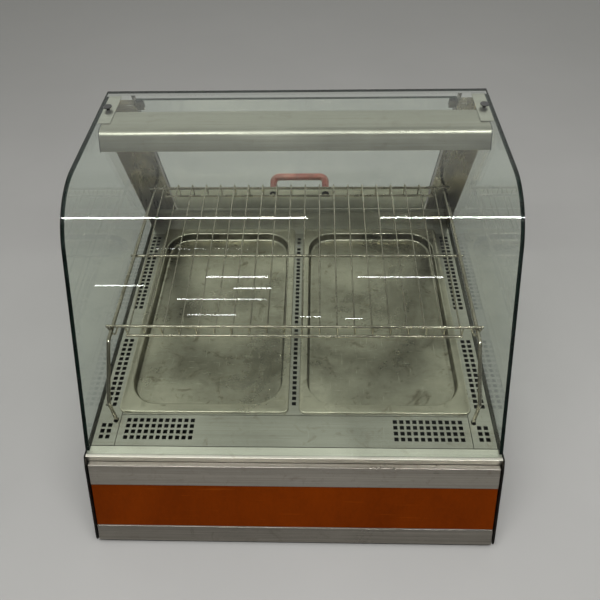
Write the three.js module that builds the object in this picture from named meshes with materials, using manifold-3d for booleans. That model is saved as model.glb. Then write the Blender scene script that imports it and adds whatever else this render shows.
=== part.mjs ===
// Counter-top heated bakery display case with a bent front pane, a rear flap door,
// a perforated deck with two gastronorm pans and a lift-off wire shelf.
// Millimetres, +Z up, customer side towards -Y, origin under the middle of the case.

import * as THREE from 'three';
import { mergeGeometries, mergeVertices } from 'three/addons/utils/BufferGeometryUtils.js';
import Module from 'manifold-3d';

const wasm = await Module();
wasm.setup();

// ---------------------------------------------------------------------------
// Driving dimensions. Depths (y) are counted from the front foot of the fascia
// and heights (z) from the counter; the last lines shift depth to the middle.
// ---------------------------------------------------------------------------
const GAP = 0.4; // air between neighbouring pieces
const SHEET = 1.2; // stainless sheet
const BASE_WIDTH = 756;
const BASE_DEPTH = 800;
const PLATE = 2.5; // end plates of the base
const PLATE_PROUD = 2.5; // end plates stand this far ahead of the fascia
const FASCIA_JOINT = 2.6; // dark joint between the fascia's ends and the end plates
const BASE_BOTTOM = 10;
const DECK = 178; // top of the deck above the counter
const FASCIA_TOP_Y = 77;
const FASCIA_TOP_Z = 161;
const TRIM_BOTTOM_Z = 124;
const RAIL_TOP_Z = 40;
const LEDGE_Y = 86;
const GRILLE_Y = 109; // front edge of the removable grille
const GRILLE_DEPTH = 65;
const GRILLE_HALF = 327;
const GRILLE_GAP = 1.1; // joint line round the grille
const CROSSBAR_REAR_Y = 192;
const BRIDGE_HALF = 22; // strip between the two pan openings

const GLASS = 5;
const GLASS_WIDTH = 750;
const GLASS_TOP = 569;
const GLASS_REAR_Y = 677;
const BRACKET = { inner: 345, front: 567, rear: 667 }; // steel plates under the pane's rear corners
const GLASS_FOOT_Y = 91;
const GLASS_SLOPE = 0.61; // run over rise of the slanted part
const GLASS_BEND = 150; // outer bend radius
const GLASS_SCREW = { x: 360, y: 616 };

const LEAN_RUN = 0.33; // rear posts and door: run over rise
const LEAN = Math.atan(LEAN_RUN);
const POST_FOOT_Y = 781; // front face of the posts at deck height
const POST_INNER = 320;
const POST_OUTER = 367.6; // inner face of the side flange
const POST_DEPTH = 17;
const POST_FLANGE = 65; // side flange, forward along the side pane
const SILL = 10; // raised sill under the door and posts

const PIVOT_Z = 549;
const DOOR_LENGTH = 376.5;
const DOOR_HALF = 316;
const DOOR_ABOVE = 12.6; // pane above the pivot line
const DOOR_RAIL = 83;
const DOOR_SHEET = 1.5;
const HANDLE_SPACING = 128;
const HANDLE_DROP = 308; // from pivot to handle, along the door
const HANDLE_REACH = 40;
const HANDLE_ROD = 19;

const PAN_WIDTH = 325;
const PAN_LENGTH = 530;
const PAN_FRONT_Y = 178.5;
const PAN_CENTRE_X = 172.5;
const PAN_RIM_TOP = DECK + 4;
const PAN_DEPTH = 20;
const PAN_FLANGE = { side: 15, front: 20, rear: 18 };

const HOLE = 8;
const PITCH = 12.1;
const FIRST_HOLE = { corner: 127, side: 197, rear: 448, bridge: 201, grilleX: 190, grilleY: 126.3 };
const SIDE_COLUMNS = { front: [344.5, 356.6], rear: [347, 359.1] };

const SHELF_RAIL_Z = 320;
const SHELF_DROP = 27; // low cross wires below the raised rails
const SHELF_FRONT_Y = 275;
const SHELF_REAR_Y = 691;
const SHELF_MIDDLE_Y = 478;
const SHELF_RAIL_HALF = 346;
const SHELF_GRID_HALF = 314.5;
const SHELF_WIRES = 20;
const SHELF_WIRE_PITCH = 32.7;
const WIRE = 3;
const RAIL_WIRE = 5.5;
const SUPPORT_X = 336;
const SUPPORT_ROD = 7;
const SUPPORT_Z = 313.3;
const SUPPORT_BEND_Y = 247;
const SUPPORT_FOOT_Y = 164;
const SUPPORT_KNEE_Z = 235;
const SUPPORT_SEAT = 6; // how far the support's foot stands in the deck

const CANOPY_HALF = 361;
const CANOPY_TOP = 561.9;
const CANOPY_BOTTOM = 528;
const CANOPY_REAR_Y = 611;
const CANOPY_BEND_Y = 541;
const CANOPY_FRONT_Y = 524;

const CONTROL_Z = 96;
const KNOB_X = 260;
const SWITCH_X = { power: 196, lamp: 152 };
const PILOT_X = 112;
const GLAND = { x: -300, z: 60 };
const FOOT = { diameter: 32, x: 330, frontY: 60, rearY: BASE_DEPTH - 50 };
const LAMP = { y: 572, z: 542, holderX: 338, holderHalf: 11, radius: 7 };

// ---------------------------------------------------------------------------
// Materials: one factory per finish
// ---------------------------------------------------------------------------
const finish = (color, roughness, metalness, more = {}) =>
  () => new THREE.MeshStandardMaterial({ color, roughness, metalness, ...more });
const stainless = finish(0x8f8d86, 0.35, 1.0);
const brightWire = finish(0xa39b8d, 0.3, 1.0);
const glass = finish(0xcfe0da, 0.05, 0.0, { transparent: true, opacity: 0.3 });
const orangeBrown = finish(0x8a3b0c, 0.3, 0.0);
const maroon = finish(0x5a2420, 0.45, 0.0);
const blackPlastic = finish(0x151515, 0.5, 0.0);
const rubber = finish(0x101010, 0.9, 0.0);
const ceramicWhite = finish(0xe8e4da, 0.4, 0.0);
const amberLens = finish(0xd9661a, 0.2, 0.0);
const redLens = finish(0xa01810, 0.3, 0.0);
const warmTube = finish(0xf3e6cf, 0.25, 0.0);

// ---------------------------------------------------------------------------
// Solid helpers
// ---------------------------------------------------------------------------
function toSolid(geometry) {
  const g = geometry.index ? geometry.toNonIndexed() : geometry.clone();
  g.deleteAttribute('normal');
  g.deleteAttribute('uv');
  const merged = mergeVertices(g, 1e-4);
  return new wasm.Manifold(new wasm.Mesh({
    numProp: 3,
    vertProperties: new Float32Array(merged.attributes.position.array),
    triVerts: new Uint32Array(merged.index.array),
  }));
}

function toGeometry(solid) {
  const mesh = solid.getMesh();
  const g = new THREE.BufferGeometry();
  g.setAttribute('position', new THREE.BufferAttribute(new Float32Array(mesh.vertProperties), 3));
  g.setIndex(new THREE.BufferAttribute(new Uint32Array(mesh.triVerts), 1));
  g.computeVertexNormals();
  return g;
}

const join = (...geometries) =>
  toGeometry(geometries.map(toSolid).reduce((all, one) => all.add(one)));

const cut = (geometry, ...cutters) =>
  toGeometry(cutters.reduce((left, cutter) => left.subtract(toSolid(cutter)), toSolid(geometry)));

const block = (x0, x1, y0, y1, z0, z1) =>
  new THREE.BoxGeometry(x1 - x0, y1 - y0, z1 - z0)
    .translate((x0 + x1) / 2, (y0 + y1) / 2, (z0 + z1) / 2);

function outline(points) {
  return new THREE.Shape(points.map(([a, b]) => new THREE.Vector2(a, b)));
}

// A (y, z) outline drawn out along x.
function alongX(shape, x0, x1, curveSegments = 12) {
  const g = new THREE.ExtrudeGeometry(shape, { depth: x1 - x0, bevelEnabled: false, curveSegments });
  g.applyMatrix4(new THREE.Matrix4().makeBasis(
    new THREE.Vector3(0, 1, 0), new THREE.Vector3(0, 0, 1), new THREE.Vector3(1, 0, 0)));
  return g.translate(x0, 0, 0);
}

// An (x, y) outline drawn out along z.
const upright = (shape, z0, z1, curveSegments = 8) =>
  new THREE.ExtrudeGeometry(shape, { depth: z1 - z0, bevelEnabled: false, curveSegments })
    .translate(0, 0, z0);

// A polyline folded in sheet metal: the outline keeps the line on one side and
// lies the sheet's thickness to the right of the walking direction.
function foldedSheet(points, thickness) {
  const line = points.map(([a, b]) => new THREE.Vector2(a, b));
  const normals = line.slice(1).map((p, i) => {
    const d = p.clone().sub(line[i]).normalize();
    return new THREE.Vector2(d.y, -d.x);
  });
  const inner = line.map((p, i) => {
    const before = normals[Math.max(i - 1, 0)];
    const after = normals[Math.min(i, normals.length - 1)];
    const mitre = before.clone().add(after).normalize();
    return p.clone().addScaledVector(mitre, thickness / mitre.dot(before));
  });
  return new THREE.Shape([...line, ...inner.reverse()]);
}

function roundedRect(x0, x1, y0, y1, radius) {
  const s = new THREE.Shape();
  s.moveTo(x0 + radius, y0);
  s.lineTo(x1 - radius, y0);
  s.absarc(x1 - radius, y0 + radius, radius, -Math.PI / 2, 0);
  s.lineTo(x1, y1 - radius);
  s.absarc(x1 - radius, y1 - radius, radius, 0, Math.PI / 2);
  s.lineTo(x0 + radius, y1);
  s.absarc(x0 + radius, y1 - radius, radius, Math.PI / 2, Math.PI);
  s.lineTo(x0, y0 + radius);
  s.absarc(x0 + radius, y0 + radius, radius, Math.PI, Math.PI * 1.5);
  return s;
}

// A round bar between two points.
function bar(from, to, diameter, sides = 12) {
  const a = new THREE.Vector3(...from);
  const b = new THREE.Vector3(...to);
  const g = new THREE.CylinderGeometry(diameter / 2, diameter / 2, a.distanceTo(b), sides);
  const turn = new THREE.Quaternion()
    .setFromUnitVectors(new THREE.Vector3(0, 1, 0), b.clone().sub(a).normalize());
  return g.applyQuaternion(turn).translate(...a.add(b).multiplyScalar(0.5).toArray());
}

// A bent rod: straight bars with a ball at every corner.
function bentRod(points, diameter, sides = 12) {
  const bars = points.slice(1).map((p, i) => bar(points[i], p, diameter, sides));
  const balls = points.slice(1, -1).map((p) =>
    new THREE.SphereGeometry(diameter / 2, sides, Math.ceil(sides / 2)).translate(...p));
  return join(...bars, ...balls);
}

const disc = (diameter, thickness, sides = 24) =>
  new THREE.CylinderGeometry(diameter / 2, diameter / 2, thickness, sides);

// Square punchings through a horizontal sheet at DECK height.
function punchings(centres) {
  return mergeGeometries(centres.map(([x, y]) =>
    block(x - HOLE / 2, x + HOLE / 2, y - HOLE / 2, y + HOLE / 2, DECK - 20, DECK + 5)));
}

const rowOf = (start, count) => Array.from({ length: count }, (_, i) => start + i * PITCH);
const gridOf = (xs, ys) => xs.flatMap((x) => ys.map((y) => [x, y]));

// ---------------------------------------------------------------------------
// Scene graph
// ---------------------------------------------------------------------------
const displayCase = new THREE.Group();
const leaning = new THREE.Group(); // frame of the rear posts and door

function add(name, geometry, material, parent = displayCase) {
  const mesh = new THREE.Mesh(geometry, material());
  mesh.name = name;
  parent.add(mesh);
  return mesh;
}

const SIDES = [['left', -1], ['right', 1]];

// Mirrors an x interval to one side and keeps it ordered.
const sideSpan = (sign, a, b) => (sign > 0 ? [a, b] : [-b, -a]);

// ---------------------------------------------------------------------------
// Base
// ---------------------------------------------------------------------------
const PLATE_INNER = BASE_WIDTH / 2 - PLATE;
const INSIDE = PLATE_INNER - GAP; // half width between the end plates
const slope = new THREE.Vector2(FASCIA_TOP_Y, FASCIA_TOP_Z - BASE_BOTTOM).normalize();

// Depth of the fascia's outer face at a height, set back by an inset.
const fasciaY = (z, inset = 0) =>
  FASCIA_TOP_Y - (FASCIA_TOP_Z - z) * (slope.x / slope.y) + inset / slope.y;

function endPlateOutline() {
  const bottom = BASE_BOTTOM - 3;
  const frontFoot = fasciaY(bottom, -PLATE_PROUD);
  const corner = 14;
  const s = new THREE.Shape();
  s.moveTo(frontFoot + corner, bottom);
  s.lineTo(BASE_DEPTH - corner, bottom);
  s.quadraticCurveTo(BASE_DEPTH, bottom, BASE_DEPTH, bottom + corner);
  s.lineTo(BASE_DEPTH, DECK);
  s.lineTo(LEDGE_Y, DECK);
  s.lineTo(fasciaY(FASCIA_TOP_Z, -PLATE_PROUD), FASCIA_TOP_Z + 1);
  s.lineTo(fasciaY(bottom + corner, -PLATE_PROUD), bottom + corner);
  s.quadraticCurveTo(frontFoot, bottom, frontFoot + corner, bottom);
  return s;
}

function buildBase() {
  const tray = foldedSheet([
    [fasciaY(34, 8), 34], [fasciaY(BASE_BOTTOM, 24), BASE_BOTTOM],
    [BASE_DEPTH - 4, BASE_BOTTOM], [BASE_DEPTH - 4, 40],
  ].reverse(), SHEET);
  add('base_tray', alongX(tray, -INSIDE, INSIDE), stainless);

  for (const [side, sign] of SIDES) {
    const [x0, x1] = sideSpan(sign, PLATE_INNER, BASE_WIDTH / 2);
    add(`${side}_side_plate`, alongX(endPlateOutline(), x0, x1, 5), stainless);
    const footHeight = BASE_BOTTOM - GAP;
    for (const [end, y] of [['front', FOOT.frontY], ['rear', FOOT.rearY]]) {
      const foot = disc(FOOT.diameter, footHeight, 20).rotateX(Math.PI / 2);
      add(`${end}_${side}_foot`, foot, rubber).position.set(sign * FOOT.x, y, footHeight / 2);
    }
  }
}

function buildFascia() {
  const half = PLATE_INNER - FASCIA_JOINT;
  const fold = 5;
  const trim = foldedSheet([
    [LEDGE_Y - GAP, FASCIA_TOP_Z], [FASCIA_TOP_Y, FASCIA_TOP_Z],
    [fasciaY(TRIM_BOTTOM_Z), TRIM_BOTTOM_Z], [fasciaY(TRIM_BOTTOM_Z) + fold, TRIM_BOTTOM_Z],
  ].reverse(), SHEET);
  add('fascia_top_trim', alongX(trim, -half, half), stainless);

  const face = 1.5; // set back behind the stainless bands
  const board = 3;
  const top = TRIM_BOTTOM_Z - GAP;
  const bottom = RAIL_TOP_Z + GAP;
  add('fascia_panel', alongX(outline([
    [fasciaY(top, face), top], [fasciaY(bottom, face), bottom],
    [fasciaY(bottom, face + board), bottom], [fasciaY(top, face + board), top],
  ]), -half, half), orangeBrown);

  const rail = foldedSheet([
    [fasciaY(RAIL_TOP_Z) + fold, RAIL_TOP_Z], [fasciaY(RAIL_TOP_Z), RAIL_TOP_Z],
    [fasciaY(BASE_BOTTOM), BASE_BOTTOM], [fasciaY(BASE_BOTTOM, 20), BASE_BOTTOM],
  ].reverse(), SHEET);
  add('front_bottom_rail', alongX(rail, -half, half), stainless);
}

function buildRearPanel() {
  const face = BASE_DEPTH - 1.5;
  const panel = block(-INSIDE, INSIDE, face, BASE_DEPTH, 44, DECK + SILL - SHEET - GAP);
  const port = (x, z, diameter) =>
    disc(diameter, 20, 16).translate(x, BASE_DEPTH, z);
  const slot = (x0, x1, z0, z1) => block(x0, x1, BASE_DEPTH - 10, BASE_DEPTH + 10, z0, z1);
  const switchPort = (x) => slot(x - 11.5, x + 11.5, CONTROL_Z - 16, CONTROL_Z + 16);
  const vent = { count: 12, start: -150, pitch: 18, width: 6, bottom: 76, top: 116 };
  const vents = Array.from({ length: vent.count }, (_, i) => vent.start + i * vent.pitch)
    .map((x) => slot(x, x + vent.width, vent.bottom, vent.top));
  add('rear_panel', cut(panel, port(KNOB_X, CONTROL_Z, 9), port(PILOT_X, CONTROL_Z, 10.5),
    port(GLAND.x, GLAND.z, 17), switchPort(SWITCH_X.power), switchPort(SWITCH_X.lamp),
    mergeGeometries(vents)), stainless);

  const gland = join(disc(24, 5, 6).translate(0, 2.9, 0), disc(16, 34, 20).translate(0, -2, 0),
    disc(19, 9, 20).translate(0, 9, 0));
  const throat = disc(9, 60, 16);
  add('cable_gland', cut(gland, throat), blackPlastic)
    .position.set(GLAND.x, BASE_DEPTH, GLAND.z);
}

// ---------------------------------------------------------------------------
// Deck
// ---------------------------------------------------------------------------
const DECK_HALF = 369.6;
const REAR_LEDGE_Y = 694;
const PAN_EDGE = PAN_CENTRE_X + PAN_WIDTH / 2;
const STRIP_INNER = PAN_EDGE - PAN_FLANGE.side + 2.5;

function buildDeck() {
  const ledge = foldedSheet([
    [LEDGE_Y, FASCIA_TOP_Z + GAP], [LEDGE_Y, DECK],
    [GRILLE_Y - GRILLE_GAP, DECK], [GRILLE_Y - GRILLE_GAP, DECK - 9],
  ], SHEET);
  add('front_ledge', alongX(ledge, -INSIDE, INSIDE), stainless);

  const under = DECK - SHEET;
  const stripFront = CROSSBAR_REAR_Y + GAP;
  const stripRear = REAR_LEDGE_Y - GAP;
  const cornerInner = GRILLE_HALF + GRILLE_GAP;
  for (const [side, sign] of SIDES) {
    const mirrored = (points) => points.map(([x, y]) => [sign * x, y]);
    const strip = upright(outline(mirrored([
      [cornerInner, GRILLE_Y], [DECK_HALF, GRILLE_Y], [DECK_HALF, stripRear],
      [STRIP_INNER, stripRear], [STRIP_INNER, stripFront], [cornerInner, stripFront],
    ])), under, DECK);
    const [x0, x1] = sideSpan(sign, DECK_HALF - SHEET, DECK_HALF);
    const flange = block(x0, x1, GRILLE_Y, stripRear, DECK - 13, DECK);
    const holes = [
      ...gridOf(SIDE_COLUMNS.front, rowOf(FIRST_HOLE.corner, 3)),
      ...gridOf(SIDE_COLUMNS.rear, rowOf(FIRST_HOLE.side, 14)),
      ...gridOf(SIDE_COLUMNS.rear, rowOf(FIRST_HOLE.rear, 20)),
    ];
    const slotHalf = SUPPORT_ROD / 2 + 1;
    const rodSlot = upright(roundedRect(sign * SUPPORT_X - slotHalf, sign * SUPPORT_X + slotHalf,
      SUPPORT_FOOT_Y - slotHalf - SUPPORT_SEAT / 2, SUPPORT_FOOT_Y + slotHalf, slotHalf - 0.2),
    DECK - 8, DECK + 5, 5);
    add(`deck_side_${side}`, cut(join(strip, flange), punchings(mirrored(holes)), rodSlot), stainless);
  }

  const barFront = GRILLE_Y + GRILLE_DEPTH + GRILLE_GAP;
  const crossbar = block(-GRILLE_HALF, GRILLE_HALF, barFront, CROSSBAR_REAR_Y, under, DECK);
  const bridge = block(-BRIDGE_HALF, BRIDGE_HALF, CROSSBAR_REAR_Y - 2, stripRear, under, DECK);
  const bridgeHoles = punchings(gridOf([0], rowOf(FIRST_HOLE.bridge, 40)));
  add('deck_centre_bar', cut(join(crossbar, bridge), bridgeHoles), stainless);

  const sillY = POST_FOOT_Y - 3;
  const rear = foldedSheet([
    [REAR_LEDGE_Y, DECK], [sillY, DECK], [sillY, DECK + SILL], [BASE_DEPTH, DECK + SILL],
  ], SHEET);
  add('deck_rear_ledge', alongX(rear, -DECK_HALF, DECK_HALF), stainless);

  const columns = rowOf(FIRST_HOLE.grilleX, 11);
  const rows = rowOf(FIRST_HOLE.grilleY, 4);
  const grille = block(-GRILLE_HALF, GRILLE_HALF, GRILLE_Y, GRILLE_Y + GRILLE_DEPTH, under, DECK);
  add('front_grille_panel', cut(grille, punchings([
    ...gridOf(columns, rows), ...gridOf(columns.map((x) => -x), rows),
  ])), stainless);
}

// ---------------------------------------------------------------------------
// Pans
// ---------------------------------------------------------------------------
function panGeometry() {
  const half = PAN_WIDTH / 2;
  const wall = 1.2;
  const tub = (grow, radius) => roundedRect(
    -half + PAN_FLANGE.side - grow, half - PAN_FLANGE.side + grow,
    PAN_FLANGE.front - grow, PAN_LENGTH - PAN_FLANGE.rear + grow, radius);
  const rim = upright(roundedRect(-half, half, 0, PAN_LENGTH, 12), -PAN_RIM_TOP + DECK + GAP, 0, 5);
  const shell = join(rim, upright(tub(wall, 56), -PAN_DEPTH - wall, -1));
  return cut(shell, upright(tub(0, 55), -PAN_DEPTH, 1));
}

function buildPans() {
  for (const [side, sign] of SIDES) {
    add(`pan_${side}`, panGeometry(), stainless)
      .position.set(sign * PAN_CENTRE_X, PAN_FRONT_Y, PAN_RIM_TOP);
  }
}

// ---------------------------------------------------------------------------
// Heating and controls inside the base
// ---------------------------------------------------------------------------
function buildHeating() {
  const mountY = BASE_DEPTH - 34;
  const heaterZ = 142;
  add('heater_mount_bar', block(-300, 300, mountY, mountY + 26, heaterZ - 10, heaterZ + 10), stainless);
  for (const [side, sign] of SIDES) {
    const legs = [62, 282].map((x) => x * sign);
    const nose = 230;
    const bend = 40;
    add(`heater_${side}`, bentRod([
      [legs[0], mountY - GAP, heaterZ], [legs[0], nose + bend, heaterZ],
      [legs[0] + sign * bend, nose, heaterZ], [legs[1] - sign * bend, nose, heaterZ],
      [legs[1], nose + bend, heaterZ], [legs[1], mountY - GAP, heaterZ],
    ], 8, 8), stainless);
  }
  const blockBody = block(-45, 45, BASE_DEPTH - 60, BASE_DEPTH - 30, 11.6, 31.6);
  const wireWays = mergeGeometries([-32, -16, 0, 16, 32].map((x) =>
    block(x - 4, x + 4, BASE_DEPTH - 53, BASE_DEPTH - 37, 25, 40)));
  add('terminal_block', cut(blockBody, wireWays), ceramicWhite);
}

function rockerSwitch(name, x) {
  const behind = BASE_DEPTH - 1.5;
  const frame = block(x - 14, x + 14, BASE_DEPTH + 0.3, BASE_DEPTH + 2.3, CONTROL_Z - 19, CONTROL_Z + 19);
  const housing = block(x - 11, x + 11, behind - 20, BASE_DEPTH + 1, CONTROL_Z - 15.5, CONTROL_Z + 15.5);
  const well = block(x - 8.6, x + 8.6, BASE_DEPTH - 9, BASE_DEPTH + 9, CONTROL_Z - 13, CONTROL_Z + 13);
  add(`${name}_switch_body`, cut(join(frame, housing), well), blackPlastic);

  const tipHalf = 11;
  const key = alongX(outline([
    [-4, -6], [-4, 6], [5, tipHalf], [3, 0], [5, -tipHalf],
  ].reverse()), -8, 8);
  const rocker = add(`${name}_switch_rocker`, key, redLens);
  rocker.position.set(x, BASE_DEPTH, CONTROL_Z);
  rocker.rotation.x = THREE.MathUtils.degToRad(-10);
}

function buildControls() {
  const bodyFront = BASE_DEPTH - 1.5 - GAP;
  const thermostat = join(
    block(-22, 22, -32, -GAP, -22, 22),
    disc(6, 24, 12).translate(0, 4, 0));
  add('thermostat_body', thermostat, blackPlastic).position.set(KNOB_X, bodyFront, CONTROL_Z);

  const grip = join(disc(42, 4, 32).translate(0, 2, 0), disc(34, 14, 32).translate(0, 7, 0),
    block(-3.5, 3.5, 6, 15.5, -18.5, 18.5));
  const shaftHole = disc(7, 30, 12).translate(0, -1, 0);
  add('thermostat_knob', cut(grip, shaftHole), blackPlastic)
    .position.set(KNOB_X, BASE_DEPTH + 1, CONTROL_Z);

  rockerSwitch('power', SWITCH_X.power);
  rockerSwitch('lamp', SWITCH_X.lamp);

  const lens = join(disc(14, 4, 20).translate(0, 2.4, 0), disc(9.5, 20, 16).translate(0, -6, 0));
  add('pilot_lamp', lens, amberLens).position.set(PILOT_X, BASE_DEPTH, CONTROL_Z);
}

// ---------------------------------------------------------------------------
// Glass
// ---------------------------------------------------------------------------
const glassLean = Math.atan(GLASS_SLOPE);
const GLASS_FOOT_Z = DECK + GAP;

// Half of the pane's section, offset inwards: foot, tangent points and bend centre.
function paneLine(inset) {
  const radius = GLASS_BEND - inset;
  const top = GLASS_TOP - inset;
  const shift = inset / Math.cos(glassLean);
  const footY = GLASS_FOOT_Y + shift;
  const meetY = footY + (top - GLASS_FOOT_Z) * GLASS_SLOPE;
  const tangent = radius * Math.tan((Math.PI / 2 - glassLean) / 2);
  return { footY, top, radius, centreY: meetY + tangent, centreZ: top - radius };
}

// Follows the pane's section from the foot to the rear edge.
function tracePane(shape, line) {
  shape.absarc(line.centreY, line.centreZ, line.radius, Math.PI - glassLean, Math.PI / 2, true);
}

function buildFrontGlass() {
  const outer = paneLine(0);
  const inner = paneLine(GLASS);
  const s = new THREE.Shape();
  s.moveTo(outer.footY, GLASS_FOOT_Z);
  tracePane(s, outer);
  s.lineTo(GLASS_REAR_Y, outer.top);
  s.lineTo(GLASS_REAR_Y, inner.top);
  s.absarc(inner.centreY, inner.centreZ, inner.radius, Math.PI / 2, Math.PI - glassLean, false);
  s.lineTo(inner.footY, GLASS_FOOT_Z);
  const pane = alongX(s, -GLASS_WIDTH / 2, GLASS_WIDTH / 2, 14);
  const holes = SIDES.map(([, sign]) => disc(9, 30, 16).rotateX(Math.PI / 2)
    .translate(sign * GLASS_SCREW.x, GLASS_SCREW.y, GLASS_TOP));
  add('front_glass', cut(pane, ...holes), glass);
}

function buildSideGlass() {
  const line = paneLine(GLASS + GAP);
  const slotBottom = DECK - 12;
  const rearOverlap = 12; // runs this far past the posts' front faces
  const rearAt = (z) => POST_FOOT_Y + rearOverlap - (z - DECK) * LEAN_RUN;
  const s = new THREE.Shape();
  s.moveTo(line.footY, GLASS_FOOT_Z);
  tracePane(s, line);
  s.lineTo(rearAt(line.top), line.top);
  s.lineTo(rearAt(slotBottom), slotBottom);
  s.lineTo(GRILLE_Y + GAP, slotBottom);
  s.lineTo(GRILLE_Y + GAP, GLASS_FOOT_Z);
  for (const [side, sign] of SIDES) {
    const [x0, x1] = sideSpan(sign, GLASS_WIDTH / 2 - GLASS, GLASS_WIDTH / 2);
    add(`${side}_glass`, alongX(s, x0, x1, 14), glass);
  }
}

function buildGlassClamps() {
  const plateTop = GLASS_TOP - GLASS - 0.3;
  for (const [side, sign] of SIDES) {
    const [x0, x1] = sideSpan(sign, BRACKET.inner, DECK_HALF);
    const plate = block(x0, x1, BRACKET.front, BRACKET.rear, plateTop - 1.4, plateTop);
    add(`glass_bracket_${side}`, plate, stainless);
    const cap = join(disc(17, 1.6, 24).translate(0, 1.1, 0), disc(7, 6, 16).translate(0, -2.2, 0));
    add(`glass_cap_${side}`, cap.rotateX(Math.PI / 2), blackPlastic)
      .position.set(sign * GLASS_SCREW.x, GLASS_SCREW.y, GLASS_TOP);
  }
}

// ---------------------------------------------------------------------------
// Posts and rear door, drawn in the leaning frame: y out of the case, z up the door
// ---------------------------------------------------------------------------
const FACE = -(GLASS / 2 + GAP + DOOR_SHEET); // inner face of posts and door rail
const pivotY = POST_FOOT_Y - (PIVOT_Z - DECK) * LEAN_RUN - FACE / Math.cos(LEAN);
const postTopZ = (CANOPY_TOP - PIVOT_Z) / Math.cos(LEAN);

function buildPosts() {
  const back = FACE + POST_DEPTH;
  const turnIn = 8;
  const spare = 50; // drawn too long at both ends, then cut level
  const sillFront = POST_FOOT_Y - 3 - GAP;
  leaning.updateMatrixWorld(true);
  const toLocal = leaning.matrixWorld.clone().invert();
  const level = (y0, y1, z0, z1) =>
    block(-BASE_WIDTH, BASE_WIDTH, y0, y1, z0, z1).applyMatrix4(toLocal);
  const above = level(GLASS_FOOT_Y, BASE_DEPTH, CANOPY_TOP, CANOPY_TOP + DECK);
  const overDeck = level(GLASS_FOOT_Y, sillFront, 0, DECK + GAP);
  const overSill = level(sillFront, BASE_DEPTH + DECK, 0, DECK + SILL + GAP);
  for (const [side, sign] of SIDES) {
    const section = foldedSheet([
      [sign * (POST_INNER + turnIn), back], [sign * POST_INNER, back], [sign * POST_INNER, FACE],
      [sign * POST_OUTER, FACE], [sign * POST_OUTER, FACE - POST_FLANGE],
    ], -sign * DOOR_SHEET);
    const long = upright(section, -DOOR_LENGTH - spare, postTopZ + spare, 4);
    const pinHole = bar([sign * (POST_INNER - 12), 0, 0], [sign * (POST_INNER + 18), 0, 0], 9, 16);
    add(`${side}_post`, cut(long, pinHole, above, overDeck, overSill), stainless, leaning);
  }
}

function buildDoor() {
  const glassBottom = -DOOR_LENGTH + DOOR_SHEET + GAP;
  const pane = block(-DOOR_HALF, DOOR_HALF, -GLASS / 2, GLASS / 2, glassBottom, DOOR_ABOVE);
  const screwXs = [-HANDLE_SPACING / 2, HANDLE_SPACING / 2];
  const screwHoles = (diameter) => mergeGeometries(screwXs.map((x) =>
    disc(diameter, 30, 16).translate(x, 0, -HANDLE_DROP)));
  add('rear_door_glass', cut(pane, screwHoles(7)), glass, leaning);

  const channel = foldedSheet([
    [FACE, -DOOR_LENGTH + DOOR_RAIL], [FACE, -DOOR_LENGTH],
    [-FACE, -DOOR_LENGTH], [-FACE, -DOOR_LENGTH + DOOR_RAIL],
  ], -DOOR_SHEET);
  add('rear_door_rail', cut(alongX(channel, -DOOR_HALF, DOOR_HALF), screwHoles(5)), stainless, leaning);

  const legFoot = -FACE + GAP;
  const gripY = legFoot + HANDLE_REACH;
  const half = HANDLE_SPACING / 2;
  const bend = 14;
  const bow = bentRod([
    [-half, legFoot, 0], [-half, gripY - bend, 0], [-half + bend * 0.3, gripY - bend * 0.3, 0],
    [-half + bend, gripY, 0], [half - bend, gripY, 0], [half - bend * 0.3, gripY - bend * 0.3, 0],
    [half, gripY - bend, 0], [half, legFoot, 0],
  ], HANDLE_ROD, 16);
  const screwBores = mergeGeometries(screwXs.map((x) => disc(5, 24, 12).translate(x, legFoot, 0)));
  add('door_handle', cut(bow, screwBores), maroon, leaning).position.z = -HANDLE_DROP;

  for (const [side, sign] of SIDES) {
    const x = sign * half;
    const washer = cut(disc(18, 1.6, 24), disc(5, 6, 16));
    add(`handle_washer_${side}`, washer, rubber, leaning)
      .position.set(x, FACE - 0.3 - 0.8, -HANDLE_DROP);
    const screw = join(disc(9, 2.4, 20).translate(0, -1.2, 0), disc(4, 22, 12).translate(0, 10, 0));
    add(`handle_screw_${side}`, screw, brightWire, leaning)
      .position.set(x, FACE - 0.3 - 1.6 - 0.3, -HANDLE_DROP);

    const [x0, x1] = sideSpan(sign, DOOR_HALF - 12, POST_INNER - 1.2);
    const shoe = block(x0, x1, -GLASS / 2 - 2.4, GLASS / 2 + 2.4, -12, 7);
    const slot = block(-DOOR_HALF - GAP, DOOR_HALF + GAP, -GLASS / 2 - GAP, GLASS / 2 + GAP, -40, 40);
    const pin = bar([sign * (DOOR_HALF + 1), 0, 0], [sign * (POST_INNER + 8), 0, 0], 7, 16);
    add(`door_pivot_${side}`, join(cut(shoe, slot), pin), stainless, leaning);
  }
}

// ---------------------------------------------------------------------------
// Lamp canopy
// ---------------------------------------------------------------------------
function canopyOutline() {
  const bend = 9;
  return [
    [CANOPY_REAR_Y, CANOPY_TOP - 10], [CANOPY_REAR_Y, CANOPY_TOP],
    [CANOPY_BEND_Y + bend, CANOPY_TOP], [CANOPY_BEND_Y + bend * 0.35, CANOPY_TOP - bend * 0.25],
    [CANOPY_BEND_Y - bend * 0.3, CANOPY_TOP - bend],
    [CANOPY_FRONT_Y, CANOPY_BOTTOM], [CANOPY_FRONT_Y + 8, CANOPY_BOTTOM - 1],
  ];
}

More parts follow.
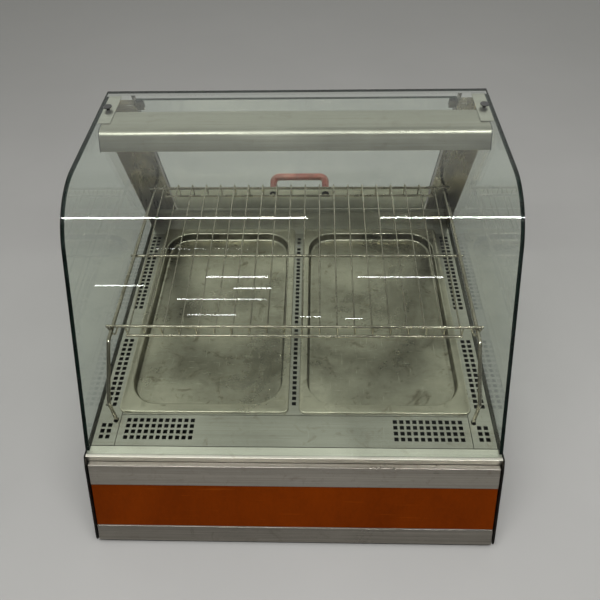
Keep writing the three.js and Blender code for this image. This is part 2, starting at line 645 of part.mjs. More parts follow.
function buildCanopy() {
  add('lamp_canopy', alongX(foldedSheet(canopyOutline(), -SHEET), -CANOPY_HALF, CANOPY_HALF), stainless);
  const cheek = outline([...canopyOutline().slice(1, 6), [CANOPY_REAR_Y, CANOPY_BOTTOM + 12]].reverse());
  for (const [side, sign] of SIDES) {
    const [x0, x1] = sideSpan(sign, CANOPY_HALF + GAP, CANOPY_HALF + GAP + 1.6);
    add(`canopy_end_${side}`, alongX(cheek, x0, x1), blackPlastic);
    const holder = block(-LAMP.holderHalf, LAMP.holderHalf, -12, 12, -11,
      CANOPY_TOP - SHEET - GAP - LAMP.z);
    add(`lamp_holder_${side}`, holder, ceramicWhite)
      .position.set(sign * LAMP.holderX, LAMP.y, LAMP.z);
  }
  const length = 2 * (LAMP.holderX - LAMP.holderHalf - GAP);
  const tube = disc(2 * LAMP.radius, length, 16).rotateZ(Math.PI / 2);
  add('lamp_tube', tube, warmTube).position.set(0, LAMP.y, LAMP.z);
}

// ---------------------------------------------------------------------------
// Wire shelf and its supports
// ---------------------------------------------------------------------------
const LOW_WIRE_Z = SHELF_RAIL_Z - SHELF_DROP;
const WELD = 0.8; // crossing wires sink into each other
const GRID_FRONT_Z = LOW_WIRE_Z + (RAIL_WIRE + WIRE) / 2 - WELD;
const GRID_REAR_Z = SHELF_RAIL_Z + (RAIL_WIRE + WIRE) / 2 + GAP;
const gridZ = (y) => GRID_FRONT_Z
  + (GRID_REAR_Z - GRID_FRONT_Z) * (y - SHELF_FRONT_Y) / (SHELF_REAR_Y - SHELF_FRONT_Y);
const wireXs = Array.from({ length: SHELF_WIRES }, (_, i) =>
  (i - (SHELF_WIRES - 1) / 2) * SHELF_WIRE_PITCH);
const crossWire = (half, y, z) => bar([-half, y, z], [half, y, z], RAIL_WIRE, 8);

// The grid falls towards the front; its rear ends lie over the rear rail.
function buildShelfGrid() {
  const middleZ = gridZ(SHELF_MIDDLE_Y) - (RAIL_WIRE + WIRE) / 2 + WELD - 0.4;
  const lengthwise = wireXs.map((x) => bar(
    [x, SHELF_FRONT_Y - 1, gridZ(SHELF_FRONT_Y - 1)], [x, SHELF_REAR_Y + 3, gridZ(SHELF_REAR_Y + 3)], WIRE, 6));
  add('shelf_grid', join(crossWire(SHELF_GRID_HALF, SHELF_FRONT_Y, LOW_WIRE_Z),
    crossWire(SHELF_RAIL_HALF, SHELF_MIDDLE_Y, middleZ), ...lengthwise), brightWire);
}

function buildShelfRails() {
  const frontFoot = GRID_FRONT_Z + WIRE / 2 + 0.3;
  const uprights = wireXs.map((x) =>
    bar([x, SHELF_FRONT_Y, frontFoot], [x, SHELF_FRONT_Y, SHELF_RAIL_Z], WIRE, 6));
  const apexZ = LOW_WIRE_Z + 1;
  const legWire = 3.5;
  const hooks = SIDES.flatMap(([, sign]) => [SHELF_RAIL_HALF - 0.5, 2 * SUPPORT_X - SHELF_RAIL_HALF - 3]
    .map((x) => bar([sign * x, SHELF_FRONT_Y, SHELF_RAIL_Z], [sign * (SUPPORT_X - 1), SHELF_FRONT_Y, apexZ],
      legWire, 6)));
  add('shelf_front_rail',
    join(crossWire(SHELF_RAIL_HALF, SHELF_FRONT_Y, SHELF_RAIL_Z), ...uprights, ...hooks), brightWire);

  const lowY = SHELF_REAR_Y + 6;
  const drops = wireXs.map((x) =>
    bar([x, SHELF_REAR_Y + 1, SHELF_RAIL_Z], [x, lowY, LOW_WIRE_Z], WIRE, 6));
  add('shelf_rear_rail', join(crossWire(SHELF_RAIL_HALF, SHELF_REAR_Y, SHELF_RAIL_Z),
    crossWire(SHELF_GRID_HALF, lowY, LOW_WIRE_Z), ...drops), brightWire);
}

function buildShelfSupports() {
  const postFaceY = POST_FOOT_Y - (SUPPORT_Z - DECK) * LEAN_RUN;
  for (const [side, sign] of SIDES) {
    const x = sign * SUPPORT_X;
    add(`shelf_support_${side}`, bentRod([
      [x, postFaceY - 3, SUPPORT_Z], [x, SUPPORT_BEND_Y, SUPPORT_Z],
      [x, SUPPORT_FOOT_Y, SUPPORT_KNEE_Z], [x, SUPPORT_FOOT_Y, DECK - SUPPORT_SEAT],
    ], SUPPORT_ROD, 12), brightWire);
  }
}

// ---------------------------------------------------------------------------
// Assembly
// ---------------------------------------------------------------------------
const DEEPEST = BASE_DEPTH + 1 + 15.5; // rear face of the thermostat knob
const FOREMOST = fasciaY(BASE_BOTTOM); // foot of the bottom rail
leaning.position.set(0, pivotY, PIVOT_Z);
leaning.rotation.x = LEAN;

buildBase();
buildFascia();
buildRearPanel();
buildDeck();
buildPans();
buildHeating();
buildControls();
buildFrontGlass();
buildSideGlass();
buildGlassClamps();
buildPosts();
buildDoor();
buildCanopy();
buildShelfGrid();
buildShelfRails();
buildShelfSupports();

displayCase.add(leaning);
displayCase.position.y = -(DEEPEST + FOREMOST) / 2;

export default displayCase;
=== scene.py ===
"""Look of the heated bakery display case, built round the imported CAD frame."""
from math import atan, cos, pi, radians, sin, tan

import bmesh
import bpy
from mathutils import Matrix, Vector


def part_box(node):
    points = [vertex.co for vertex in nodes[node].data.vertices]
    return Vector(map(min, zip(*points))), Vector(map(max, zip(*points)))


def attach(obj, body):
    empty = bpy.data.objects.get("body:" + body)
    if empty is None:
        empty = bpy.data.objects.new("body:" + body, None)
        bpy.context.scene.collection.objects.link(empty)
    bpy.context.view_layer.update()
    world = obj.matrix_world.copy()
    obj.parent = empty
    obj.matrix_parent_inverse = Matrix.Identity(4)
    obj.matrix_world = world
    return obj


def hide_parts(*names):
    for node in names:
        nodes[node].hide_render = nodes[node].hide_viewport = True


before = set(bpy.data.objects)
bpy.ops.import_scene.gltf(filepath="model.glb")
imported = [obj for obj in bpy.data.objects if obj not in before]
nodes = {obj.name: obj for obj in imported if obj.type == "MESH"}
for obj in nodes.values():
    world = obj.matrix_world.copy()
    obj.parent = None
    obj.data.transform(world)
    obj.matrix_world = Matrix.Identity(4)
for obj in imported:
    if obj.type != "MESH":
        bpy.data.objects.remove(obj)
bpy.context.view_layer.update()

# ---------------------------------------------------------------------------
# Frame of the drawing: millimetres, depth counted from the foot of the fascia
# ---------------------------------------------------------------------------
MM = 0.001
BASE_DEPTH = 800
DEPTH_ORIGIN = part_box("rear_panel")[1].y - BASE_DEPTH * MM
DECK = 178  # top of the deck above the counter
LEAN_RUN = 0.33  # rear posts and door: run over rise
LEAN = atan(LEAN_RUN)
POST_FOOT_Y = 781  # front face of the posts at deck height
PIVOT_Z = 549


def at(x, y, z):
    """A drawing point in the row frame."""
    return Vector((x * MM, y * MM + DEPTH_ORIGIN, z * MM))


# ---------------------------------------------------------------------------
# Materials
# ---------------------------------------------------------------------------
class Recipe:
    """A node material under construction."""

    def __init__(self, name):
        self.material = bpy.data.materials.new(name)
        self.material.use_nodes = True
        self.tree = self.material.node_tree
        self.tree.nodes.clear()
        self.out = self.tree.nodes.new("ShaderNodeOutputMaterial")
        self.place = self.add("TexCoord").outputs["Object"]

    def add(self, kind, settings=None, **sockets):
        node = self.tree.nodes.new("ShaderNode" + kind)
        for key, value in (settings or {}).items():
            setattr(node, key, value)
        for key, value in sockets.items():
            self.feed(node.inputs[key.replace("_", " ")], value)
        return node

    def feed(self, socket, value):
        if isinstance(value, bpy.types.NodeSocket):
            self.tree.links.new(value, socket)
        else:
            socket.default_value = value

    def stretched(self, scale, turn=(0, 0, 0)):
        node = self.add("Mapping", Vector=self.place)
        node.inputs["Scale"].default_value = scale
        node.inputs["Rotation"].default_value = turn
        return node.outputs["Vector"]

    def height(self):
        return self.add("SeparateXYZ", Vector=self.place).outputs["Z"]

    def noise(self, vector, scale=1.0, detail=3.0, rough=0.55, warp=0.0):
        return self.add("TexNoise", Vector=vector, Scale=scale, Detail=detail,
                        Roughness=rough, Distortion=warp).outputs["Fac"]

    def remap(self, value, low, high, to_low=0.0, to_high=1.0):
        node = self.add("MapRange", Value=value, From_Min=low, From_Max=high,
                        To_Min=to_low, To_Max=to_high)
        return node.outputs["Result"]

    def math(self, operation, a, b):
        node = self.add("Math", {"operation": operation})
        self.feed(node.inputs[0], a)
        self.feed(node.inputs[1], b)
        return node.outputs[0]

    def blend(self, factor, a, b):
        node = self.add("Mix", {"data_type": "RGBA"})
        self.feed(node.inputs["Factor"], factor)
        self.feed(node.inputs[6], a)
        self.feed(node.inputs[7], b)
        return node.outputs[2]

    def bump(self, height, strength, distance, below=None):
        node = self.add("Bump", Height=height, Strength=strength, Distance=distance)
        if below is not None:
            self.feed(node.inputs["Normal"], below)
        return node.outputs["Normal"]

    def finish(self, shader):
        self.tree.links.new(shader, self.out.inputs["Surface"])
        return self.material


def rgba(r, g, b):
    return (r, g, b, 1.0)


def steel(name, light, dark, rough, grain=(5, 420, 420), blotch=7.0, stain=0.35, brush=0.35,
          scratches=0.5, painted_shade_below=None, dark_unless_along_x=False, relief=1.0,
          painted_wall_shade=None):
    """Worn stainless: brushed grain along one axis, cloudy stains and fine scratches.

    painted_shade_below: painted shade, the sheet is darker under this height.
    painted_wall_shade: heights between which painted shade darkens the wall, broken by noise, with a
    painted highlight on the lip above it.
    dark_unless_along_x: only the faces that look along X keep the light tone; the others are made near
    black.
    relief: how much of the surface bump is kept.
    """
    m = Recipe(name)
    lines = m.noise(m.stretched(grain), 1.0, 4.0, 0.65)
    bands = m.noise(m.stretched(tuple(g * 0.09 for g in grain)), 1.0, 3.0, 0.6)
    cloud = m.noise(m.place, blotch, 5.0, 0.6, 0.6)
    spots = m.remap(m.noise(m.place, blotch * 5, 4.0, 0.7, 1.2), 0.56, 0.72)
    turned = m.stretched((26, 900, 300), (0.3, 0.4, 0.9))
    other = m.stretched((700, 22, 300), (0.2, 0.5, -0.5))
    nicks = m.math("MAXIMUM", m.remap(m.noise(turned, 1.0, 2.0), 0.68, 0.74),
                   m.remap(m.noise(other, 1.0, 2.0), 0.69, 0.75))
    tone = m.math("ADD", m.math("MULTIPLY", lines, brush),
                  m.math("MULTIPLY", m.math("ADD", bands, cloud), (1 - brush) / 2))
    base = m.blend(m.remap(tone, 0.35, 0.65), rgba(*dark), rgba(*light))
    grime = tuple(c * k for c, k in zip(dark, (0.72, 0.66, 0.55)))
    base = m.blend(m.math("MULTIPLY", spots, stain), base, rgba(*grime))
    wear = m.math("MULTIPLY", nicks, scratches)
    base = m.blend(wear, base, rgba(*(min(1, c * 1.25) for c in light)))
    # painted shade: under this height the sheet is darkened to about half its dark tone
    if painted_shade_below is not None:
        shade = m.remap(m.height(), painted_shade_below - 0.0008, painted_shade_below)
        base = m.blend(shade, rgba(*(c * 0.55 for c in dark)), base)
    # painted shade on the wall band, broken by noise, and a painted highlight on the lip above it
    if painted_wall_shade is not None:
        height = m.height()
        low, high = painted_wall_shade
        fade = 0.0022
        wall = m.math("MULTIPLY", m.remap(height, low, low + fade),
                      m.remap(height, high, high - fade))
        cover = m.remap(m.noise(m.place, 22.0, 4.0, 0.6), 0.3, 0.6, 0.40, 0.85)
        base = m.blend(m.math("MULTIPLY", wall, cover), base, rgba(*(c * 0.22 for c in dark)))
        painted_lip_highlight = m.remap(height, high, high + 0.001)
        base = m.blend(m.math("MULTIPLY", painted_lip_highlight, 0.3), base, rgba(*(min(1, c * 1.1) for c in light)))
    # faces that don't look along X are darkened to near black
    if dark_unless_along_x:
        facing = m.add("SeparateXYZ", Vector=m.add("NewGeometry").outputs["Normal"]).outputs["X"]
        along_x = m.remap(m.math("ABSOLUTE", facing, 0.0), 0.5, 0.9)
        base = m.blend(along_x, rgba(*(c * 0.12 for c in dark)), base)
    roughness = m.math("ADD", m.remap(cloud, 0.3, 0.7, rough - 0.07, rough + 0.09),
                       m.math("MULTIPLY", lines, 0.1))
    normal = m.bump(lines, 0.22 * relief, 0.0003)
    normal = m.bump(m.noise(m.place, 9.0, 2.0), 0.25 * relief, 0.004, normal)
    normal = m.bump(nicks, 0.25 * relief, 0.0002, normal)
    shader = m.add("BsdfPrincipled", Base_Color=base, Metallic=1.0, Roughness=roughness,
                   Normal=normal)
    return m.finish(shader.outputs["BSDF"])


def moulded(name, light, dark, rough, grain=900.0, depth=0.0002, sheen=0.0, mottling=18.0):
    """Moulded plastic, rubber or ceramic: fine surface grain and slow colour variation."""
    m = Recipe(name)
    cloud = m.noise(m.place, mottling, 4.0, 0.6, 0.4)
    fine = m.noise(m.place, grain, 2.0)
    base = m.blend(m.remap(cloud, 0.35, 0.65), rgba(*dark), rgba(*light))
    roughness = m.remap(cloud, 0.3, 0.7, rough - 0.06, rough + 0.1)
    normal = m.bump(fine, 0.3, depth)
    shader = m.add("BsdfPrincipled", Base_Color=base, Roughness=roughness, Normal=normal)
    shader.inputs["Coat Weight"].default_value = sheen
    shader.inputs["Coat Roughness"].default_value = 0.12
    return m.finish(shader.outputs["BSDF"])


def enamel(name):
    """Glossy burnt-orange laminate with faint vertical clouding and rubbed marks."""
    m = Recipe(name)
    cloud = m.noise(m.stretched((9, 9, 3)), 1.0, 4.0, 0.6, 0.5)
    fine = m.noise(m.stretched((160, 160, 60)), 1.0, 3.0, 0.7)
    rub = m.remap(m.noise(m.stretched((10, 200, 240), (0, 0.15, 0)), 1.0, 2.0), 0.66, 0.74)
    tone = m.math("ADD", m.math("MULTIPLY", cloud, 0.7), m.math("MULTIPLY", fine, 0.3))
    base = m.blend(m.remap(tone, 0.35, 0.65), rgba(0.098, 0.0150, 0.0001), rgba(0.142, 0.0225, 0.0002))
    base = m.blend(m.math("MULTIPLY", rub, 0.2), base, rgba(0.30, 0.075, 0.008))
    roughness = m.remap(m.math("ADD", cloud, m.math("MULTIPLY", rub, 0.4)), 0.3, 0.9, 0.3, 0.46)
    normal = m.bump(m.noise(m.place, 60.0, 3.0), 0.12, 0.0008)
    shader = m.add("BsdfPrincipled", Base_Color=base, Roughness=roughness, Normal=normal)
    shader.inputs["Specular IOR Level"].default_value = 0.03
    return m.finish(shader.outputs["BSDF"])


def clear_glass(name, tint, haze):
    """A pane that is seen through and lets light pass, with wiped smears and dust."""
    m = Recipe(name)
    wipes = m.noise(m.stretched((3, 9, 14), (0.4, 0.2, 0.5)), 1.0, 5.0, 0.65, 0.8)
    dust = m.remap(m.noise(m.place, 260.0, 3.0, 0.7), 0.62, 0.8)
    smear = m.math("ADD", m.remap(wipes, 0.42, 0.75, haze * 0.25, haze * 1.6),
                   m.math("MULTIPLY", dust, haze * 1.5))
    facing = m.add("LayerWeight", Blend=0.5).outputs["Facing"]
    mirror = m.remap(m.math("POWER", facing, 5.0), 0.0, 1.0, 0.02, 0.85)
    through = m.add("BsdfTransparent", Color=rgba(*tint)).outputs["BSDF"]
    shine = m.add("BsdfGlossy", Color=rgba(1, 1, 1),
                  Roughness=m.remap(wipes, 0.3, 0.8, 0.002, 0.012)).outputs["BSDF"]
    film = m.add("BsdfDiffuse", Color=rgba(0.8, 0.82, 0.8)).outputs["BSDF"]
    pane = m.add("MixShader", Fac=mirror)
    m.feed(pane.inputs[1], through)
    m.feed(pane.inputs[2], shine)
    mixed = m.add("MixShader", Fac=smear)
    m.feed(mixed.inputs[1], pane.outputs[0])
    m.feed(mixed.inputs[2], film)
    return m.finish(mixed.outputs[0])


def ground_edge(name):
    """Polished glass edge: dark bottle green, broken by small chips of light."""
    m = Recipe(name)
    cloud = m.noise(m.place, 35.0, 4.0, 0.7)
    chips = m.remap(m.noise(m.place, 420.0, 2.0), 0.66, 0.74)
    base = m.blend(m.remap(cloud, 0.35, 0.65), rgba(0.0015, 0.004, 0.003), rgba(0.004, 0.012, 0.009))
    base = m.blend(m.math("MULTIPLY", chips, 0.3), base, rgba(0.06, 0.12, 0.10))
    roughness = m.remap(cloud, 0.3, 0.7, 0.10, 0.22)
    shader = m.add("BsdfPrincipled", Base_Color=base, Roughness=roughness,
                   Normal=m.bump(cloud, 0.2, 0.0005))
    shader.inputs["IOR"].default_value = 1.5
    shader.inputs["Specular IOR Level"].default_value = 0.16
    return m.finish(shader.outputs["BSDF"])


sheet_steel = steel("brushed_sheet", (0.50, 0.485, 0.43), (0.36, 0.345, 0.30), 0.30)
trim_steel = steel("brushed_trim", (0.50, 0.465, 0.41), (0.28, 0.26, 0.225), 0.27, grain=(3, 500, 500),
                   brush=0.5)
deck_steel = steel("brushed_deck", (0.56, 0.55, 0.48), (0.40, 0.385, 0.33), 0.32, stain=0.5)
# painted highlight: a far lighter copy of the sheet steel for the front ledge, with painted shade on
# its front face below the top
ledge_steel_painted_highlight = steel("ledge_sheet_painted_highlight", (0.90, 0.88, 0.77), (0.72, 0.70, 0.61), 0.36,
                    painted_shade_below=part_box("front_ledge")[1].z - 0.0006)
# painted shade: a near-black copy of the sheet steel for the tray, heaters and mount bar inside the
# base
inner_steel_painted_shade = steel("inner_sheet_painted_shade", (0.10, 0.095, 0.088), (0.045, 0.043, 0.04), 0.5)
side_steel = steel("side_sheet", (0.20, 0.19, 0.175), (0.10, 0.095, 0.088), 0.34, grain=(420, 5, 420),
                   dark_unless_along_x=True)
post_steel = steel("post_sheet", (0.44, 0.405, 0.33), (0.13, 0.12, 0.10), 0.22, grain=(200, 60, 6),
                   blotch=4.0, stain=0.2, brush=0.45)
pan_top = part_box("pan_left")[1].z
# painted shade on the pan walls and a painted highlight on their lip, at the heights given
pan_steel = steel("pan_steel", (0.64, 0.61, 0.485), (0.24, 0.225, 0.172), 0.25, grain=(60, 90, 90),
                  blotch=6.0, stain=0.75, brush=0.12, scratches=1.0,
                  painted_wall_shade=(pan_top - 0.0190, pan_top - 0.0022))
wire_steel = steel("bright_wire", (0.54, 0.50, 0.41), (0.22, 0.20, 0.155), 0.2, grain=(60, 60, 60),
                   blotch=9.0, stain=0.5, brush=0.2, scratches=0.0, relief=0.06)
# painted shade: a darker copy of the sheet steel, for the canopy
canopy_steel_painted_shade = steel("canopy_sheet_painted_shade", (0.44, 0.425, 0.365), (0.28, 0.265, 0.222), 0.32, brush=0.45)
# painted light: a much lighter copy of the sheet steel, for the door rail and the deck's rear ledge
door_steel_painted_light = steel("door_rail_sheet_painted_light", (0.80, 0.79, 0.71), (0.60, 0.59, 0.52), 0.38)
# painted shade: a darker copy of the trim steel, for the bottom rail
rail_steel_painted_shade = steel("bottom_rail_sheet_painted_shade", (0.36, 0.335, 0.295), (0.17, 0.158, 0.135), 0.27,
                   grain=(3, 500, 500), brush=0.5)
dark_steel = steel("dull_fitting", (0.16, 0.15, 0.13), (0.07, 0.066, 0.056), 0.35)
orange = enamel("burnt_orange_enamel")
pane_glass = clear_glass("pane_glass", (0.945, 0.965, 0.945), 0.0035)
edge_glass = ground_edge("pane_edge")
black_plastic = moulded("black_plastic", (0.035, 0.035, 0.034), (0.014, 0.014, 0.014), 0.42)
red_key = moulded("red_key", (0.42, 0.03, 0.02), (0.28, 0.018, 0.012), 0.3, sheen=0.4)
rubber = moulded("foot_rubber", (0.03, 0.03, 0.03), (0.012, 0.012, 0.012), 0.75, 500.0, 0.0005)
ceramic = moulded("glazed_ceramic", (0.80, 0.77, 0.69), (0.64, 0.60, 0.52), 0.3, sheen=0.3)
amber = moulded("amber_lens", (0.75, 0.26, 0.04), (0.50, 0.15, 0.02), 0.2, sheen=0.6)
maroon = moulded("brick_handle", (0.34, 0.060, 0.042), (0.19, 0.034, 0.025), 0.30, 300.0, 0.0003,
                 sheen=0.5, mottling=60.0)
lamp_white = moulded("lamp_tube_glass", (0.86, 0.80, 0.66), (0.74, 0.66, 0.5), 0.2, sheen=0.5)

FINISH = {
    "stainless": sheet_steel, "pan_steel": pan_steel, "fascia_enamel": orange,
    "clear_glass": pane_glass, "bright_wire": wire_steel, "maroon_plastic": maroon,
    "black_plastic": black_plastic, "red_plastic": red_key, "rubber": rubber,
    "ceramic_white": ceramic, "lamp_glass": lamp_white, "amber_lens": amber,
}


# ---------------------------------------------------------------------------
# Mesh helpers
# ---------------------------------------------------------------------------
def piece(name, verts, faces, body, materials, replaced, indices=None, crease=38):
    """A smooth-shaded mesh that stands for CAD nodes and rides on their body."""
    mesh = bpy.data.meshes.new(name)
    mesh.from_pydata([tuple(v) for v in verts], [], faces)
    for material in materials:
        mesh.materials.append(material)
    if indices:
        mesh.polygons.foreach_set("material_index", indices)
    mesh.polygons.foreach_set("use_smooth", [True] * len(mesh.polygons))
    mesh.update()
    mesh.set_sharp_from_angle(angle=radians(crease))
    obj = bpy.data.objects.new(name, mesh)
    bpy.context.scene.collection.objects.link(obj)
    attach(obj, body)
    if replaced:
        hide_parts(*replaced)
    return obj


def bevel(obj, width, segments=2, limit=50, material=-1):
    modifier = obj.modifiers.new("edges", "BEVEL")
    modifier.width = width * MM
    modifier.segments = segments
    modifier.limit_method = "ANGLE"
    modifier.angle_limit = radians(limit)
    modifier.material = material
    modifier.harden_normals = False
    return modifier


def filleted(points, radius, steps=6):
    """A path through the points with its inner corners rounded."""
    points = [Vector(p) for p in points]
    path = [points[0]]
    for before, corner, after in zip(points, points[1:], points[2:]):
        a = (before - corner).normalized()
        b = (after - corner).normalized()
        half = a.angle(b) / 2
        reach = min(radius / tan(half), 0.49 * (before - corner).length, 0.49 * (after - corner).length)
        r = reach * tan(half)
        centre = corner + (a + b).normalized() * (r / sin(half))
        start = corner + a * reach - centre
        end = corner + b * reach - centre
        sweep = start.angle(end)
        for i in range(steps + 1):
            t = i / steps
            path.append(centre + (start * sin((1 - t) * sweep) + end * sin(t * sweep)) / sin(sweep))
    path.append(points[-1])
    return path


def tube(path, diameter, sides=12, widths=None):
    """Vertices and faces of a round bar along a path, with softened ends."""
    path = [Vector(p) for p in path]
    r = diameter / 2
    tangents = []
    for i in range(len(path)):
        a = path[max(i - 1, 0)]
        b = path[min(i + 1, len(path) - 1)]
        tangents.append((b - a).normalized())
    side = tangents[0].orthogonal().normalized()
    rings = []
    soft = 0.3 * r
    for i, (p, t) in enumerate(zip(path, tangents)):
        side = (side - t * side.dot(t)).normalized()
        up = t.cross(side)
        k = widths[i] if widths else 1.0
        rings.append((p, side.copy(), up, r * k))
    first, last = rings[0], rings[-1]
    caps_in = [(first[0], first[1], first[2], first[3] - soft)]
    caps_out = [(last[0], last[1], last[2], last[3] - soft)]
    rings[0] = (first[0] + tangents[0] * soft, *first[1:])
    rings[-1] = (last[0] - tangents[-1] * soft, *last[1:])
    rings = caps_in + rings + caps_out
    verts, faces = [], []
    for p, s, u, radius in rings:
        for k in range(sides):
            a = 2 * pi * k / sides
            verts.append(p + s * (radius * cos(a)) + u * (radius * sin(a)))
    for i in range(len(rings) - 1):
        for k in range(sides):
            n = (k + 1) % sides
            faces.append((i * sides + k, i * sides + n, (i + 1) * sides + n, (i + 1) * sides + k))
    faces.append(tuple(reversed(range(sides))))
    faces.append(tuple((len(rings) - 1) * sides + k for k in range(sides)))
    return verts, faces


def merged(parts):
    verts, faces = [], []
    for v, f in parts:
        start = len(verts)
        verts.extend(v)
        faces.extend(tuple(i + start for i in face) for face in f)
    return verts, faces


def wire(points, diameter, bend=0.0, sides=10, steps=5):
    """A bar through drawing points, bent on the given inside radius."""
    path = [at(*p) for p in points]
    if bend:
        path = filleted(path, bend * MM, steps)
    return tube(path, diameter * MM, sides)


def prism(outline, x0, x1):
    """A section in (depth, height) carried along X, with its faces told apart.

    Returns vertices, faces and, for each face, the index of its edge in the outline, or -1.
    The faces' directions are left to outward().
    """
    n = len(outline)
    verts = [at(x, y, z) for x in (x0, x1) for y, z in outline]
    faces = [(k, k + n, (k + 1) % n + n, (k + 1) % n) for k in range(n)]
    faces += [tuple(range(n, 2 * n)), tuple(reversed(range(n)))]
    return verts, faces, list(range(n)) + [-1, -1]


def outward(obj):
    """Turns every face's normal outwards."""
    work = bmesh.new()
    work.from_mesh(obj.data)
    bmesh.ops.recalc_face_normals(work, faces=work.faces)
    work.to_mesh(obj.data)
    work.free()


# ---------------------------------------------------------------------------
# Bent front pane, side panes and rear door pane
# ---------------------------------------------------------------------------
GLASS = 5
GLASS_HALF = 375
GLASS_TOP = 569
GAP = 0.4  # air between neighbouring pieces
GLASS_FOOT = (91, DECK + GAP)
GLASS_REAR = (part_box("front_glass")[1].y - DEPTH_ORIGIN) / MM
SLOPE = atan(0.61)
BEND = 150


def pane_curve(inset, steps=40):
    """Foot, bend and flat top of the pane's section, moved inwards by inset."""
    radius, top = BEND - inset, GLASS_TOP - inset
    foot_y = GLASS_FOOT[0] + inset / cos(SLOPE)
    meet = foot_y + (top - GLASS_FOOT[1]) * tan(SLOPE)
    centre = (meet + radius * tan((pi / 2 - SLOPE) / 2), top - radius)
    arc = [pi - SLOPE + (SLOPE - pi / 2) * i / steps for i in range(steps + 1)]
    return [(foot_y, GLASS_FOOT[1])] + [
        (centre[0] + radius * cos(a), centre[1] + radius * sin(a)) for a in arc]


def front_pane():
    outer = pane_curve(0) + [(GLASS_REAR, GLASS_TOP)]
    inner = pane_curve(GLASS) + [(GLASS_REAR, GLASS_TOP - GLASS)]
    outline = outer + inner[::-1]
    verts, faces, labels = prism(outline, -GLASS_HALF, GLASS_HALF)
    ends = {len(outer) - 1, -1}
    obj = piece("bent_front_pane", verts, faces, "case", [pane_glass, edge_glass], ["front_glass"],
                [1 if k in ends else 0 for k in labels])
    outward(obj)
    bevel(obj, 0.7, 2, 60, 1)


def side_pane(side, sign):
    curve = pane_curve(GLASS + GAP)
    top = curve[-1][1]
    slot_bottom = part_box(f"{side}_glass")[0].z / MM
    slot_front = 109 + GAP
    past_post = 12

    def rear(z):
        return POST_FOOT_Y + past_post - (z - DECK) * LEAN_RUN

    outline = curve + [(rear(top), top), (rear(slot_bottom), slot_bottom),
                       (slot_front, slot_bottom), (slot_front, GLASS_FOOT[1])]
    inner, outer = sign * (GLASS_HALF - GLASS), sign * GLASS_HALF
    verts, faces, labels = prism(outline, inner, outer)
    obj = piece(f"{side}_side_pane", verts, faces, "case", [pane_glass, edge_glass],
                [f"{side}_glass"], [0 if k == -1 else 1 for k in labels])
    outward(obj)
    bevel(obj, 0.6, 2, 60, 1)


def leaning(x, y, z):
    """A point given in the door's leaning frame, as a drawing point."""
    post_to_pane = 4.4
    pivot_y = POST_FOOT_Y - (PIVOT_Z - DECK) * LEAN_RUN + post_to_pane / cos(LEAN)
    return (x, pivot_y + y * cos(LEAN) - z * sin(LEAN), PIVOT_Z + y * sin(LEAN) + z * cos(LEAN))


def door_pane():
    bottom, top, half, t = -374.6, 12.6, 316, GLASS / 2
    corners = [(x, y, z) for z in (bottom, top) for y in (-t, t) for x in (-half, half)]
    verts = [at(*leaning(*c)) for c in corners]
    faces = [(0, 1, 5, 4), (2, 6, 7, 3), (0, 4, 6, 2), (1, 3, 7, 5), (0, 2, 3, 1), (4, 5, 7, 6)]
    obj = piece("rear_door_pane", verts, faces, "rear_door", [pane_glass, edge_glass],
                ["rear_door_glass"], [0, 0, 1, 1, 1, 1])
    outward(obj)
    bevel(obj, 0.6, 2, 60, 1)


front_pane()
for side, sign in (("left", -1), ("right", 1)):
    side_pane(side, sign)
door_pane()


# ---------------------------------------------------------------------------
# Wire shelf
# ---------------------------------------------------------------------------
RAIL_Z, LOW_Z = 320, 293
FRONT_Y, REAR_Y, MIDDLE_Y, REAR_LOW_Y = 275, 691, 478, 697
RAIL_HALF, GRID_HALF = 346, 314.5
RAIL, THIN = 5.5, 3
WIRES, WIRE_PITCH = 20, 32.7
FRONT_GRID_Z, REAR_GRID_Z = 296.45, 324.3
SUPPORT_X, SUPPORT_Z, SUPPORT_ROD = 336, 313.3, 7
SUPPORT_BEND_Y, SUPPORT_FOOT_Y, SUPPORT_KNEE_Z = 247, 164, 235
HOOK_WIRE, HOOK_BEND = 3.5, 3.2


def grid_height(y):
    return FRONT_GRID_Z + (REAR_GRID_Z - FRONT_GRID_Z) * (y - FRONT_Y) / (REAR_Y - FRONT_Y)


def cross(half, y, z):
    return wire([(-half, y, z), (half, y, z)], RAIL, sides=14)


